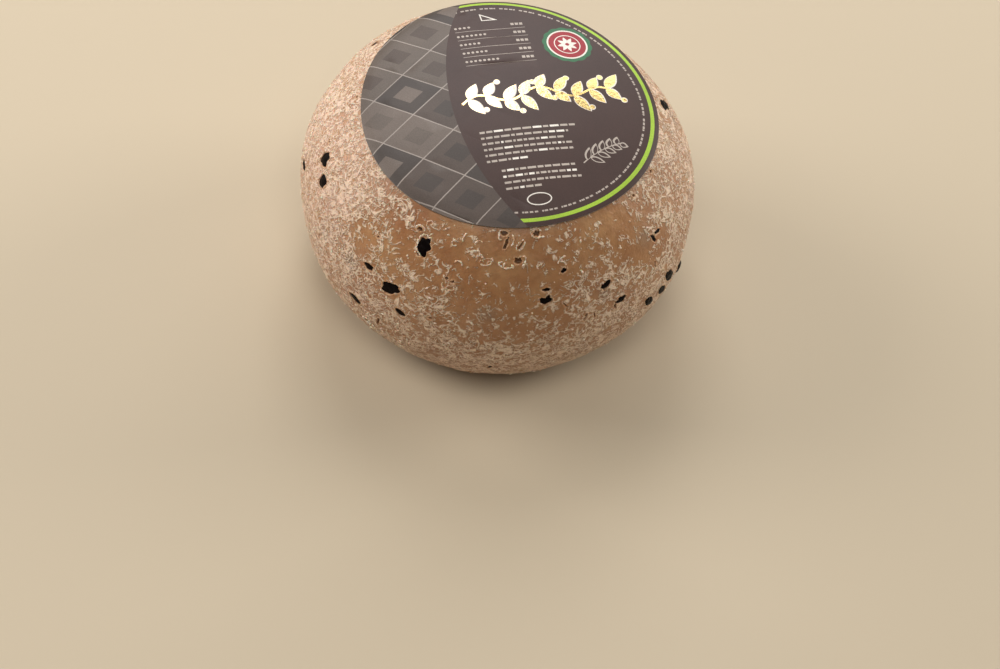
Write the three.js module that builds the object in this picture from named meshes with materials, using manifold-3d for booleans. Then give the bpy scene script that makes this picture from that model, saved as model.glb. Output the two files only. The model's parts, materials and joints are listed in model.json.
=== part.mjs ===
// A small whole wheel of semi-hard sheep's cheese with pieces of dark chocolate through it,
// and one round paper label on its pressed top.
// Millimetres, +Z up. The origin is the middle of the flat base, and the front faces -Y.
import * as THREE from 'three';
import { mergeVertices } from 'three/addons/utils/BufferGeometryUtils.js';
import Module from 'manifold-3d';

// The wheel. Its sides follow an oval turned about Z, which runs into a pressed dome above
// and a flat base below.
const WHEEL_RADIUS = 66.7;
const OVAL_HALF_HEIGHT = 53.3;
const UPPER_FULLNESS = 1.9; // power of the oval: 2 is a plain ellipse, more is squarer
const LOWER_FULLNESS = 2.3;
const EQUATOR_HEIGHT = 43;
const CROWN_RISE = 40.7; // from the equator to the top of the dome
const CROWN_RADIUS = 225; // how gently the dome is curved
const RIM_SHARPNESS = 90; // the side turns tightly into the dome
const FOOT_SHARPNESS = 22; // and softly into the base
const FOOT_TRIM = 0.8; // what is pressed off the rounded foot to make it flat
const RIND_DETAIL = 14; // subdivisions of an icosahedron's edge

// A pressed wheel is never quite round: [azimuth, latitude, rise in mm, spread in degrees].
const SWELLS = [
  [160, 12, -0.8, 34],
  [-150, -14, 0.6, 30],
  [-105, 10, 0.6, 16],
  [72, -4, 0.7, 12],
];
const RIPPLE_COUNT = 7;
const RIPPLE_RISE = 0.12;
const RIPPLE_TURNS = [5, 11]; // fewest and most radians of ripple for each radian of rind
const CALM_ENDS = [0.44, 0.56]; // sines of the latitudes where the unevenness dies away

// The label, glued on the dome.
const LABEL_RADIUS = 49.3;
const LABEL_THICKNESS = 0.3;
const LABEL_GAP = 0.3; // up from the rind
const LABEL_CURL = 0.5; // its edge stands this much further off the rounded rim
const LABEL_CURL_POWER = 8; // and the curl is all near that edge
const LABEL_OFFSET = [-0.3, 0.5]; // it was stuck on a little off centre
const LABEL_LOBE = 0.7; // how far its edge is drawn in and out, three times round
const LABEL_RINGS = 6;
const LABEL_SEGMENTS = 60;

// Chocolate that shows in the rind: [azimuth, latitude, length, width, turn from level], in
// degrees and mm, and last, for a chip that stands proud of the rind, how far it does.
// Azimuth 0 is the front and 90 is +X; latitude counts from the equator.
const SHOWN_CHIPS = [
  [-70.5, 19, 5.6, 4.6, 70],
  [-65, 15.2, 5, 4.3, 55],
  [-79, 6, 6, 2.6, 15, 0.3],
  [-20.5, 24.2, 6.3, 4.7, -85],
  [-34.5, 9.5, 4.2, 2.3, 5],
  [-26, 7.3, 7.6, 4.2, 27],
  [-37.3, -7, 5.6, 3.3, -17],
  [-21.5, 0.5, 4.1, 3, -25],
  [20, 14.2, 4.3, 3, 12],
  [20, 17.5, 2.8, 1.3, -5],
  [26, 22.5, 2.1, 1.5, 35],
  [39.5, 13.8, 4.4, 2.6, 15],
  [44.5, 6, 4.2, 2.8, 3],
  [56.5, -3.3, 6.2, 3.1, -62, 0.4],
  [62.3, -3.2, 5.8, 3.4, -53, 0.5],
  [65.3, 0.2, 7.4, 3.7, -55, 0.5],
  [73.8, -5.2, 6.5, 4.4, -50, 0.7],
  [63.2, 19, 3.3, 1.6, -15],
  [60.6, 18.4, 4.1, 1.6, -68],
  [112, 28, 6.5, 4.2, -55, 0.3],
  [109.5, 22, 2, 1.4, 40],
  [-119.5, 26.5, 3.4, 2.6, -65],
  [-33, -14.5, 2.6, 2.3, 0],
];

// Cracks and small holes in the rind with nothing in them, listed the same way.
const BARE_PITS = [
  [11, 26.5, 2.6, 2.1, -15],
  [6.5, 31.5, 4.1, 1.1, 75],
  [5.5, 34.5, 2.4, 1.7, 0],
  [11.5, 31, 3.2, 0.9, 55],
  [17.5, 34.5, 2.2, 1.7, 5],
  [-24, 28.5, 2, 1.4, 0],
  [32.5, 5, 3.4, 1.1, 70],
  [-28.5, -10, 4.6, 1, 80],
];

// The rest of the rind is strewn by rule.
const STREWN_CHIPS = 40;
const STREWN_LENGTH = [2.0, 6.2];
const STREWN_SLIMNESS = [0.42, 0.85]; // width over length
const STREWN_LATITUDE = [-46, 30];
const CHIP_SPACING = 9;
const FRONT_TILT = 50; // the listed chips fill the side seen from this far above level
const FRONT_EDGE = 0.05; // cosine at that side's edge
const FRONT_FOOT = -55; // and its lowest line, mm below the equator in that view

// A chip lies in a pit that the rind has shrunk back from.
const PIT_DEPTH = 0.5;
const PIT_DEPTH_PER_WIDTH = 0.28;
const CHIP_FIT = 1.05; // chip over pit, at the chip's widest, down at the pit's floor
const CHIP_RECESS = 0.25;
const CHIP_ROOT = 1.4;
const LARGE_CHIP = 4; // a longer pit has more facets
const CHUNK_ROUGHNESS = 0.28;

const DRAW_SEED = 4127;

// A repeatable draw between 0 and 1.
function makeDraw(seed) {
  let state = seed;
  return () => {
    state = (state * 16807) % 2147483647;
    return state / 2147483647;
  };
}

function between([low, high], share) {
  return low + (high - low) * share;
}

// The unit vector from the equator's middle to an azimuth and latitude in degrees.
function directionAt(azimuth, latitude) {
  const around = THREE.MathUtils.degToRad(azimuth);
  const up = THREE.MathUtils.degToRad(latitude);
  return new THREE.Vector3(
    Math.cos(up) * Math.sin(around),
    -Math.cos(up) * Math.cos(around),
    Math.sin(up),
  );
}

function makeRipples() {
  const draw = makeDraw(DRAW_SEED);
  const ripples = [];
  for (let i = 0; i < RIPPLE_COUNT; i += 1) {
    const heading = directionAt(360 * draw(), THREE.MathUtils.radToDeg(Math.asin(2 * draw() - 1)));
    const turns = between(RIPPLE_TURNS, draw());
    ripples.push({ wave: heading.multiplyScalar(turns), phase: 2 * Math.PI * draw() });
  }
  return ripples;
}

const ripples = makeRipples();
const swells = SWELLS.map(([azimuth, latitude, rise, spread]) => ({
  middle: directionAt(azimuth, latitude),
  rise,
  spread: THREE.MathUtils.degToRad(spread),
}));

function unevenness(direction) {
  let rise = 0;
  for (const swell of swells) {
    rise += swell.rise * Math.exp(-((direction.angleTo(swell.middle) / swell.spread) ** 2));
  }
  for (const ripple of ripples) {
    rise += RIPPLE_RISE * Math.sin(ripple.wave.dot(direction) + ripple.phase);
  }
  return rise * (1 - THREE.MathUtils.smoothstep(Math.abs(direction.z), ...CALM_ENDS));
}

// The nearer of two distances, with the corner between them rounded.
function roundedMin(a, b, sharpness) {
  return (a ** -sharpness + b ** -sharpness) ** (-1 / sharpness);
}

// How far the even form is from the equator's middle along a unit vector.
function formDistance(direction) {
  const level = Math.hypot(direction.x, direction.y);
  const fullness = direction.z > 0 ? UPPER_FULLNESS : LOWER_FULLNESS;
  const across = (level / WHEEL_RADIUS) ** fullness;
  const along = (Math.abs(direction.z) / OVAL_HALF_HEIGHT) ** fullness;
  let distance = (across + along) ** (-1 / fullness);
  if (direction.z > 0) {
    const depth = (CROWN_RADIUS - CROWN_RISE) * direction.z;
    const chord = CROWN_RADIUS ** 2 - (CROWN_RADIUS - CROWN_RISE) ** 2;
    distance = roundedMin(distance, Math.sqrt(depth ** 2 + chord) - depth, RIM_SHARPNESS);
  }
  if (direction.z < 0) {
    const base = (EQUATOR_HEIGHT + FOOT_TRIM) / -direction.z;
    distance = roundedMin(distance, base, FOOT_SHARPNESS);
  }
  return distance;
}

function rindPoint(direction) {
  const point = direction.clone().multiplyScalar(formDistance(direction) + unevenness(direction));
  point.z += EQUATOR_HEIGHT;
  return point;
}

function plainGeometry(geometry) {
  geometry.deleteAttribute('normal');
  geometry.deleteAttribute('uv');
  return mergeVertices(geometry, 1e-5);
}

function moveVertices(geometry, move) {
  const places = geometry.getAttribute('position');
  const vertex = new THREE.Vector3();
  for (let i = 0; i < places.count; i += 1) {
    vertex.fromBufferAttribute(places, i);
    const moved = move(vertex);
    places.setXYZ(i, moved.x, moved.y, moved.z);
  }
  return geometry;
}

function wheelGeometry() {
  const ball = plainGeometry(new THREE.IcosahedronGeometry(1, RIND_DETAIL));
  return moveVertices(ball, (vertex) => rindPoint(vertex.clone().normalize()));
}

// A rough lump about one unit in radius, stretched to size.
function chunkGeometry(length, width, thickness, detail, draw) {
  const lump = plainGeometry(new THREE.IcosahedronGeometry(1, detail));
  moveVertices(lump, (vertex) => vertex.clone().multiplyScalar(1 - CHUNK_ROUGHNESS * draw()));
  return lump.scale(length / 2, width / 2, thickness / 2);
}

// Sets a piece on the rind: its X along the turn, its Z straight out, its middle at a depth.
function setInRind(geometry, azimuth, latitude, turn, depth) {
  const step = 0.5;
  const middle = rindPoint(directionAt(azimuth, latitude));
  const level = rindPoint(directionAt(azimuth + step, latitude)).sub(middle).normalize();
  const uphill = rindPoint(directionAt(azimuth, latitude + step)).sub(middle);
  const outward = new THREE.Vector3().crossVectors(level, uphill).normalize();
  const across = new THREE.Vector3().crossVectors(outward, level);
  const place = new THREE.Matrix4().makeBasis(level, across, outward);
  place.multiply(new THREE.Matrix4().makeRotationZ(THREE.MathUtils.degToRad(turn)));
  place.setPosition(middle.addScaledVector(outward, -depth));
  return geometry.applyMatrix4(place);
}

function pitDepth(width) {
  return PIT_DEPTH + PIT_DEPTH_PER_WIDTH * width;
}

function pitGeometry([azimuth, latitude, length, width, turn], draw) {
  const detail = length > LARGE_CHIP ? 1 : 0;
  const pit = chunkGeometry(length, width, 2 * pitDepth(width), detail, draw);
  return setInRind(pit, azimuth, latitude, turn, 0);
}

function chipGeometry([azimuth, latitude, length, width, turn, rise = -CHIP_RECESS], draw) {
  const thickness = pitDepth(width) + rise + CHIP_ROOT;
  const chip = chunkGeometry(length * CHIP_FIT, width * CHIP_FIT, thickness, 0, draw);
  return setInRind(chip, azimuth, latitude, turn, thickness / 2 - rise);
}

// Whether a direction lies on the side that the listed chips fill.
function isFront(direction) {
  const tilt = THREE.MathUtils.degToRad(FRONT_TILT);
  const facing = -direction.y * Math.cos(tilt) + direction.z * Math.sin(tilt);
  const height = direction.y * Math.sin(tilt) + direction.z * Math.cos(tilt);
  return facing > FRONT_EDGE && height * WHEEL_RADIUS > FRONT_FOOT;
}

function strewChips(listed, draw) {
  const taken = listed.map(([azimuth, latitude]) => directionAt(azimuth, latitude));
  const strewn = [];
  while (strewn.length < STREWN_CHIPS) {
    const azimuth = 360 * draw() - 180;
    const latitude = between(STREWN_LATITUDE, draw());
    const length = between(STREWN_LENGTH, draw() ** 2);
    const width = length * between(STREWN_SLIMNESS, draw());
    const turn = 180 * draw() - 90;
    const direction = directionAt(azimuth, latitude);
    const clear = taken.every((other) => direction.angleTo(other) * WHEEL_RADIUS > CHIP_SPACING);
    if (clear && !isFront(direction)) {
      taken.push(direction);
      strewn.push([azimuth, latitude, length, width, turn]);
    }
  }
  return strewn;
}

const wasm = await Module();
wasm.setup();

function solidFrom(geometry) {
  const whole = mergeVertices(geometry, 1e-5);
  const mesh = new wasm.Mesh({
    numProp: 3,
    vertProperties: new Float32Array(whole.getAttribute('position').array),
    triVerts: new Uint32Array(whole.getIndex().array),
  });
  return new wasm.Manifold(mesh);
}

function geometryFrom(solid) {
  const mesh = solid.getMesh();
  const geometry = new THREE.BufferGeometry();
  geometry.setAttribute('position', new THREE.BufferAttribute(mesh.vertProperties, 3));
  geometry.setIndex(new THREE.BufferAttribute(mesh.triVerts, 1));
  geometry.computeVertexNormals();
  return geometry;
}

// The cheese is one solid: the trimmed wheel, its pits, and the chips rooted in them.
function cheeseGeometry() {
  const draw = makeDraw(DRAW_SEED + 1);
  const chips = [...SHOWN_CHIPS, ...strewChips([...SHOWN_CHIPS, ...BARE_PITS], draw)];
  const room = 4 * WHEEL_RADIUS;
  const table = new THREE.BoxGeometry(room, room, room);
  table.translate(0, 0, -room / 2);
  let cheese = solidFrom(wheelGeometry()).subtract(solidFrom(plainGeometry(table)));
  for (const pit of [...chips, ...BARE_PITS]) {
    cheese = cheese.subtract(solidFrom(pitGeometry(pit, draw)));
  }
  for (const chip of chips) {
    cheese = cheese.add(solidFrom(chipGeometry(chip, draw)));
  }
  return geometryFrom(cheese);
}

// The height of the rind over a place near the top, found by halving the range of latitudes.
function topHeight(x, y) {
  const azimuth = THREE.MathUtils.radToDeg(Math.atan2(x, -y));
  let low = 0;
  let high = 90;
  while (high - low > 1e-6) {
    const latitude = (low + high) / 2;
    const point = rindPoint(directionAt(azimuth, latitude));
    if (Math.hypot(point.x, point.y) > Math.hypot(x, y)) {
      low = latitude;
    } else {
      high = latitude;
    }
  }
  return rindPoint(directionAt(azimuth, high)).z;
}

// The label is a thin disc, laid over the top. Its rings are closer together near its edge,
// where the rind turns down, and the uneven shoulder draws that edge slightly out of round.
function labelGeometry() {
  const underside = [];
  const face = [];
  for (let ring = 0; ring <= LABEL_RINGS; ring += 1) {
    const radius = LABEL_RADIUS * (1 - (1 - ring / LABEL_RINGS) ** 2);
    underside.push(new THREE.Vector2(radius, 0));
    face.unshift(new THREE.Vector2(radius, LABEL_THICKNESS));
  }
  const disc = new THREE.LatheGeometry([...underside, ...face], LABEL_SEGMENTS);
  return moveVertices(plainGeometry(disc.rotateX(Math.PI / 2)), (vertex) => {
    const reach = Math.hypot(vertex.x, vertex.y) / LABEL_RADIUS;
    const lobe = Math.cos(3 * Math.atan2(vertex.y, vertex.x)) * (LABEL_LOBE / LABEL_RADIUS);
    const x = vertex.x * (1 + lobe * reach ** 2) + LABEL_OFFSET[0];
    const y = vertex.y * (1 + lobe * reach ** 2) + LABEL_OFFSET[1];
    const clearance = LABEL_GAP + LABEL_CURL * reach ** LABEL_CURL_POWER;
    return new THREE.Vector3(x, y, topHeight(x, y) + clearance + vertex.z);
  });
}

const rindMaterial = new THREE.MeshStandardMaterial({ color: 0xb08a66, roughness: 0.55, metalness: 0 });
const paperMaterial = new THREE.MeshStandardMaterial({ color: 0x5f514c, roughness: 0.5, metalness: 0 });

function namedMesh(name, geometry, material) {
  const mesh = new THREE.Mesh(geometry, material);
  mesh.name = name;
  return mesh;
}

const group = new THREE.Group();
group.add(namedMesh('cheese', cheeseGeometry(), rindMaterial));
group.add(namedMesh('label', labelGeometry(), paperMaterial));

export default group;
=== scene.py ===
"""A small whole pecorino with dark chocolate in its rind and one round paper label on its top."""
import json
import math

import bmesh
import bpy
import numpy as np
from mathutils import Matrix, Vector
from mathutils.geometry import delaunay_2d_cdt

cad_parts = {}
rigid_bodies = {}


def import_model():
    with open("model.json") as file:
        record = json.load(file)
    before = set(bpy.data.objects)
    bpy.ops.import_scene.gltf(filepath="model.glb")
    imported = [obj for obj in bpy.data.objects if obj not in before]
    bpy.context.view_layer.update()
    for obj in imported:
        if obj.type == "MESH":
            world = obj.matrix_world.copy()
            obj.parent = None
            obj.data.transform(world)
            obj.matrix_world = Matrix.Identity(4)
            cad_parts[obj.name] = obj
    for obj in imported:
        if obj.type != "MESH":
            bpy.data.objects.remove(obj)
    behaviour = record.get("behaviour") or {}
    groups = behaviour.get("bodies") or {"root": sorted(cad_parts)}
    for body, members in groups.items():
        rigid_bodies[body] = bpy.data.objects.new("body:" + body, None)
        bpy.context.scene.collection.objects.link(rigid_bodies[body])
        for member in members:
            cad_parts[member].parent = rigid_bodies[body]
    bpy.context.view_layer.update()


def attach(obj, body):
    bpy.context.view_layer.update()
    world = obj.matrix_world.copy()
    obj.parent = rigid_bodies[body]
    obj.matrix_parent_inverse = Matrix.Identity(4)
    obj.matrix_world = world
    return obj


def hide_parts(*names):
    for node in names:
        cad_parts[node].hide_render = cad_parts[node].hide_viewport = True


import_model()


# ---- Rind ----
# The dried outside of a wheel of curd, pressed in a basket and aged: one closed skin with pits where
# chips lie, and a bloom of fat and salt, thick on the sides and thin where it was handled. Sizes here
# and below are millimetres and degrees, as a cheesemaker gives them, and MM makes them metres.
MM = 0.001
WHEEL_RADIUS = 66.7
OVAL_HALF_HEIGHT = 53.3
UPPER_FULLNESS = 1.9  # power of the oval: 2 is a plain ellipse, more is squarer
LOWER_FULLNESS = 2.3
EQUATOR_HEIGHT = 43.0
CROWN_RISE = 40.7  # from the equator to the top of the dome
CROWN_RADIUS = 225.0
RIM_SHARPNESS = 90.0
FOOT_SHARPNESS = 22.0
FOOT_TRIM = 0.8
# Each is an azimuth, latitude, height and spread, as azimuth and latitude are given below.
SWELLS = [(160, 12, -0.8, 34), (-150, -14, 0.6, 30), (-105, 10, 0.6, 16), (72, -4, 0.7, 12)]
RIPPLE_COUNT = 7
RIPPLE_RISE = 0.12
RIPPLE_TURNS = (5, 11)
CALM_ENDS = (0.44, 0.56)  # heights on a unit ball between which the ripples fade out
DRAW_SEED = 4127


def make_draw(seed):
    """A repeatable draw between 0 and 1."""
    state = seed

    def draw():
        nonlocal state
        state = (state * 16807) % 2147483647
        return state / 2147483647

    return draw


def between(limits, share):
    return limits[0] + (limits[1] - limits[0]) * share


def smoothstep(low, high, value):
    share = np.clip((value - low) / (high - low), 0, 1)
    return share * share * (3 - 2 * share)


def directions(azimuth, latitude):
    """Unit vectors from the equator's middle. Azimuth 0 is the front and 90 is +X."""
    around = np.radians(azimuth)
    up = np.radians(latitude)
    return np.stack(
        [np.cos(up) * np.sin(around), -np.cos(up) * np.cos(around), np.sin(up) + 0 * around], axis=-1
    )


def make_ripples():
    draw = make_draw(DRAW_SEED)
    ripples = []
    for _ in range(RIPPLE_COUNT):
        azimuth = 360 * draw()
        heading = directions(azimuth, math.degrees(math.asin(2 * draw() - 1)))
        turns = between(RIPPLE_TURNS, draw())
        ripples.append((heading * turns, 2 * math.pi * draw()))
    return ripples


RIPPLES = make_ripples()


def angle_to(direction, azimuth, latitude):
    """Degrees between directions and one place on the rind."""
    return np.degrees(np.arccos(np.clip(direction @ directions(azimuth, latitude), -1, 1)))


def spot(direction, azimuth, latitude, strength, spread):
    """A soft round spot, strongest at its place."""
    return strength * np.exp(-((angle_to(direction, azimuth, latitude) / spread) ** 2))


def unevenness(direction):
    rise = np.zeros(len(direction))
    for swell in SWELLS:
        rise += spot(direction, *swell)
    for wave, phase in RIPPLES:
        rise += RIPPLE_RISE * np.sin(direction @ wave + phase)
    return rise * (1 - smoothstep(*CALM_ENDS, np.abs(direction[:, 2])))


def rounded_min(a, b, sharpness):
    return (a**-sharpness + b**-sharpness) ** (-1 / sharpness)


def form_distance(direction):
    """How far the even form is from the equator's middle."""
    level = np.hypot(direction[:, 0], direction[:, 1])
    height = direction[:, 2]
    fullness = np.where(height > 0, UPPER_FULLNESS, LOWER_FULLNESS)
    oval = (level / WHEEL_RADIUS) ** fullness + (np.abs(height) / OVAL_HALF_HEIGHT) ** fullness
    distance = oval ** (-1 / fullness)
    depth = (CROWN_RADIUS - CROWN_RISE) * height
    chord = CROWN_RADIUS**2 - (CROWN_RADIUS - CROWN_RISE) ** 2
    domed = rounded_min(distance, np.sqrt(depth**2 + chord) - depth, RIM_SHARPNESS)
    base = (EQUATOR_HEIGHT + FOOT_TRIM) / np.maximum(-height, 1e-6)
    footed = rounded_min(distance, base, FOOT_SHARPNESS)
    return np.where(height > 0, domed, footed)


def rind_points(direction):
    """Places on the rind, in millimetres, with the base cut flat."""
    distance = form_distance(direction) + unevenness(direction)
    points = direction * distance[:, None] + (0, 0, EQUATOR_HEIGHT)
    points[:, 2] = np.maximum(points[:, 2], 0)
    return points


# The rind has shrunk back in a lipped pit from each chip of chocolate that lies at it, and other
# pits and pores are empty. Each is an azimuth, latitude, length, width and turn from level, and
# last, for a chip that stands proud of the rind, how far it does.
SHOWN_CHIPS = [
    (-70.5, 19, 5.6, 4.6, 70),
    (-65, 15.2, 5, 4.3, 55),
    (-79, 6, 6, 2.6, 15, 0.3),
    (-20.5, 24.2, 6.3, 4.7, -85),
    (-34.5, 9.5, 4.2, 2.3, 5),
    (-26, 7.3, 7.6, 4.2, 27),
    (-37.3, -7, 5.6, 3.3, -17),
    (-21.5, 0.5, 4.1, 3, -25),
    (20, 14.2, 4.3, 3, 12),
    (20, 17.5, 2.8, 1.3, -5),
    (26, 22.5, 2.1, 1.5, 35),
    (39.5, 13.8, 4.4, 2.6, 15),
    (44.5, 6, 4.2, 2.8, 3),
    (56.5, -3.3, 6.2, 3.1, -62, 0.4),
    (62.3, -3.2, 5.8, 3.4, -53, 0.5),
    (65.3, 0.2, 7.4, 3.7, -55, 0.5),
    (73.8, -5.2, 6.5, 4.4, -50, 0.7),
    (63.2, 19, 3.3, 1.6, -15),
    (60.6, 18.4, 4.1, 1.6, -68),
    (112, 28, 6.5, 4.2, -55, 0.3),
    (109.5, 22, 2, 1.4, 40),
    (-119.5, 26.5, 3.4, 2.6, -65),
    (-33, -14.5, 2.6, 2.3, 0),
]
BARE_PITS = [
    (11, 26.5, 2.6, 2.1, -15),
    (6.5, 31.5, 4.1, 1.1, 75),
    (5.5, 34.5, 2.4, 1.7, 0),
    (11.5, 31, 3.2, 0.9, 55),
    (17.5, 34.5, 2.2, 1.7, 5),
    (-24, 28.5, 2, 1.4, 0),
    (32.5, 5, 3.4, 1.1, 70),
    (-28.5, -10, 4.6, 1, 80),
]
PORES = [
    (-10.5, 18, 1.2, 1, 0),
    (-8.5, 17.5, 1.4, 1.1, 0),
    (35.5, 4.5, 2.8, 0.7, -75),
    (26, 11.5, 2.8, 0.6, -50),
    (42.5, 4.5, 3, 0.8, -75),
    (58.5, 10.5, 2.6, 0.8, 85),
    (78, 6, 1.8, 1, 0),
    (-35.5, 19.5, 1, 0.9, 0),
    (-75, 22.5, 1.6, 1.2, 0),
    (-105.5, 12.5, 1.6, 0.7, 60),
    (-83, -3, 1.4, 1.1, 0),
    (-19, -10.5, 1.3, 1, 0),
    (61, 33.5, 1.2, 1, 0),
    (75, 33.5, 1.6, 1.2, 0),
    (-12.5, 3.5, 1.4, 1.1, 0),
    (-87.5, 33.5, 1.2, 1, 0),
]
STREWN_CHIPS = 40
STREWN_LENGTH = (2.0, 6.2)
STREWN_SLIMNESS = (0.42, 0.85)
STREWN_LATITUDE = (-46, 30)
CHIP_SPACING = 9
FRONT_TILT = 50  # the listed chips fill the side that shows from this far above level
FRONT_EDGE = 0.05  # the least share by which a place of that side faces this way
FRONT_FOOT = -55  # the lowest place of that side, seen this way
PIT_DEPTH = 0.5
PIT_DEPTH_PER_WIDTH = 0.28
PIT_WALL = 0.22  # how far in from its edge a pit reaches its full depth
PIT_RAGGEDNESS = 0.18
PIT_LOBES = (2, 6)  # fewest and most bumps in each wave round a pit's outline
LIP_HEIGHT = 0.12
LIP_WIDTH = 0.3


def is_front(direction):
    """Whether a direction lies on the side that the listed chips fill."""
    tilt = math.radians(FRONT_TILT)
    facing = -direction[1] * math.cos(tilt) + direction[2] * math.sin(tilt)
    height = direction[1] * math.sin(tilt) + direction[2] * math.cos(tilt)
    return facing > FRONT_EDGE and height * WHEEL_RADIUS > FRONT_FOOT


def strew_chips():
    draw = make_draw(DRAW_SEED + 1)
    taken = [directions(pit[0], pit[1]) for pit in SHOWN_CHIPS + BARE_PITS]
    strewn = []
    while len(strewn) < STREWN_CHIPS:
        azimuth = 360 * draw() - 180
        latitude = between(STREWN_LATITUDE, draw())
        length = between(STREWN_LENGTH, draw() ** 2)
        width = length * between(STREWN_SLIMNESS, draw())
        turn = 180 * draw() - 90
        direction = directions(azimuth, latitude)
        nearest = max(float(direction @ other) for other in taken)
        if math.acos(min(nearest, 1)) * WHEEL_RADIUS > CHIP_SPACING and not is_front(direction):
            taken.append(direction)
            strewn.append((azimuth, latitude, length, width, turn))
    return strewn


CHIPS = SHOWN_CHIPS + strew_chips()


def pit_frame(azimuth, latitude, turn):
    """A pit's middle on the rind, and its axes: along its length, across it and outward."""
    step = 0.5
    azimuths = np.array([azimuth, azimuth + step, azimuth])
    latitudes = np.array([latitude, latitude, latitude + step])
    middle, beside, above = rind_points(directions(azimuths, latitudes))
    level = (beside - middle) / np.linalg.norm(beside - middle)
    outward = np.cross(level, above - middle)
    outward /= np.linalg.norm(outward)
    uphill = np.cross(outward, level)
    angle = math.radians(turn)
    along = level * math.cos(angle) + uphill * math.sin(angle)
    return middle, along, np.cross(outward, along), outward


def edge_distance(points, pit, draw):
    """How far each point lies outside a pit's ragged outline, and less than 0 inside it."""
    azimuth, latitude, length, width, turn = pit[:5]
    middle, along, across, _ = pit_frame(azimuth, latitude, turn)
    x = (points - middle) @ along / (length / 2)
    y = (points - middle) @ across / (width / 2)
    bearing = np.arctan2(y, x)
    outline = np.ones(len(points))
    for lobes in range(PIT_LOBES[0], PIT_LOBES[1] + 1):
        outline += PIT_RAGGEDNESS * (draw() - 0.3) * np.cos(lobes * bearing + 2 * math.pi * draw())
    reach = np.hypot(x, y) / outline
    span = np.hypot(x * length / 2, y * width / 2)
    return span * (1 - 1 / np.maximum(reach, 1e-3))


def wire(tree, node, inputs):
    """Sets each input of a node, or links it to what feeds it."""
    for place, value in dict(inputs).items():
        if isinstance(value, bpy.types.Node):
            value = value.outputs[0]
        if isinstance(value, bpy.types.NodeSocket):
            tree.links.new(value, node.inputs[place])
        else:
            node.inputs[place].default_value = value


def add_node(tree, kind, settings=(), inputs=()):
    """Adds a node with its options and inputs."""
    made = tree.nodes.new(kind)
    for option, value in dict(settings).items():
        setattr(made, option, value)
    wire(tree, made, inputs)
    return made


def calc(tree, operation, *values):
    return add_node(tree, "ShaderNodeMath", {"operation": operation}, dict(enumerate(values)))


def scaled(tree, vector, factor):
    return add_node(tree, "ShaderNodeVectorMath", {"operation": "SCALE"}, {0: vector, "Scale": factor})


def ease(tree, value, low, high):
    """0 below low, 1 above high and smooth between; the other way round where low is the larger."""
    limits = {"Value": value, "From Min": low, "From Max": high}
    return add_node(tree, "ShaderNodeMapRange", {"interpolation_type": "SMOOTHSTEP"}, limits)


def noise(tree, place, size, detail=2.0, distortion=0.0, roughness=0.5):
    """Noise whose lumps are about one size across, in metres: a number, or a socket that gives it."""
    scale = calc(tree, "DIVIDE", 1.0, size) if isinstance(size, bpy.types.NodeSocket) else 1 / size
    values = {"Vector": place, "Scale": scale, "Detail": detail}
    values.update({"Distortion": distortion, "Roughness": roughness})
    return add_node(tree, "ShaderNodeTexNoise", {}, values)


def blend(tree, share, first, second):
    """Mixes two colours by a share that is a number or a mask."""
    mix = add_node(tree, "ShaderNodeMix", {"data_type": "RGBA"}, {0: share, 6: first, 7: second})
    return mix.outputs[2]


def colour(code):
    """A colour from its usual six-figure code, in the linear values that a shader takes."""
    parts = [int(code[i : i + 2], 16) / 255 for i in (0, 2, 4)]
    return (*[p / 12.92 if p <= 0.04045 else ((p + 0.055) / 1.055) ** 2.4 for p in parts], 1.0)


def shape_tree(name, inputs):
    """An empty geometry tree with named inputs and its two end nodes."""
    tree = bpy.data.node_groups.new(name, "GeometryNodeTree")
    tree.interface.new_socket("Geometry", in_out="INPUT", socket_type="NodeSocketGeometry")
    tree.interface.new_socket("Geometry", in_out="OUTPUT", socket_type="NodeSocketGeometry")
    for title, kind in inputs.items():
        tree.interface.new_socket(title, in_out="INPUT", socket_type="NodeSocket" + kind)
    return tree, tree.nodes.new("NodeGroupInput"), tree.nodes.new("NodeGroupOutput")


def mesh_object(name, mesh):
    piece = bpy.data.objects.new(name, mesh)
    bpy.context.scene.collection.objects.link(piece)
    return piece


def grown(name, carrier, tree, values):
    """The plain mesh that a geometry tree makes on a carrier, which it then takes the place of."""
    modifier = carrier.modifiers.new("grow", "NODES")
    modifier.node_group = tree
    for item in tree.interface.items_tree:
        if item.in_out == "INPUT" and item.name in values:
            modifier[item.identifier] = values[item.name]
    evaluated = carrier.evaluated_get(bpy.context.evaluated_depsgraph_get())
    mesh = bpy.data.meshes.new_from_object(evaluated)
    mesh.name = name
    carrier.modifiers.clear()
    return mesh


def noise_offset(tree, place, axis, size, height):
    """A push along an axis, up to a height either way, by noise lumps of one size."""
    lumps = calc(tree, "SUBTRACT", noise(tree, place, size), 0.5)
    return scaled(tree, axis, calc(tree, "MULTIPLY", lumps, calc(tree, "MULTIPLY", height, 2.0)))


def pushed(tree, geometry, offset):
    return add_node(tree, "GeometryNodeSetPosition", {}, {"Geometry": geometry, "Offset": offset})


def stored(tree, title, kind="FLOAT"):
    """What a mesh holds at each vertex under a title."""
    return add_node(tree, "GeometryNodeInputNamedAttribute", {"data_type": kind}, {"Name": title})


GRID_STEP = 0.85
GRID_TOP = 38.0  # latitude, just under the label's edge
GRID_FOOT = -46.0
CAP_STEP = 4.0
PIT_MARGIN = 1.3  # how far past a pit the skin is made finer
LUMP_SIZE = 9.0
LUMP_HEIGHT = 0.4
WRINKLE_SIZE = 2.6
WRINKLE_HEIGHT = 0.16
CALM_TOP = (0.56, 0.62)  # heights on a unit ball between which the relief and bloom fade out
CALM_FOOT = (0.55, 0.68)
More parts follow.
